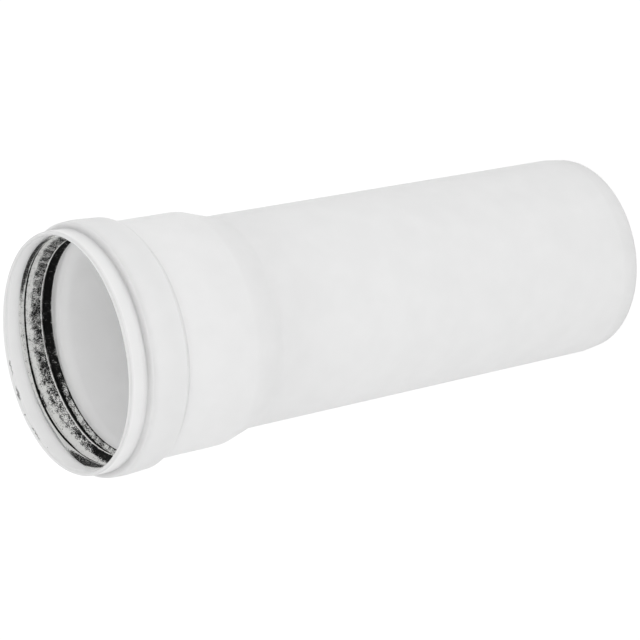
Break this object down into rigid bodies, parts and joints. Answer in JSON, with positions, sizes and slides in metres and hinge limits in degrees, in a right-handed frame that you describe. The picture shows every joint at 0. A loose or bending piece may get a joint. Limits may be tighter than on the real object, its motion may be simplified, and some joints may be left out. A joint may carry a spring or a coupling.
{
  "type": "flue pipe",
  "caption": "Straight white plastic flue pipe with a chamfered plain spigot, a tapered push-fit socket with a swelled bead, and a black rubber lip seal in the bead.",
  "frame": {"origin": "centre of the spigot's end face, on which the pipe stands", "axes": "+Z along the pipe's axis, from the spigot's end up to the socket's mouth; X and Y are free, because the pipe is round"},
  "size_m": [0.1282, 0.1282, 0.333],
  "materials": {
    "white_plastic": "white polypropylene, satin, as extruded and formed",
    "black_rubber": "black EPDM rubber, dusted with pale powder"
  },
  "bodies": {
    "root": {"pipe_body": "white_plastic", "lip_seal": "black_rubber"}
  },
  "joints": []
}
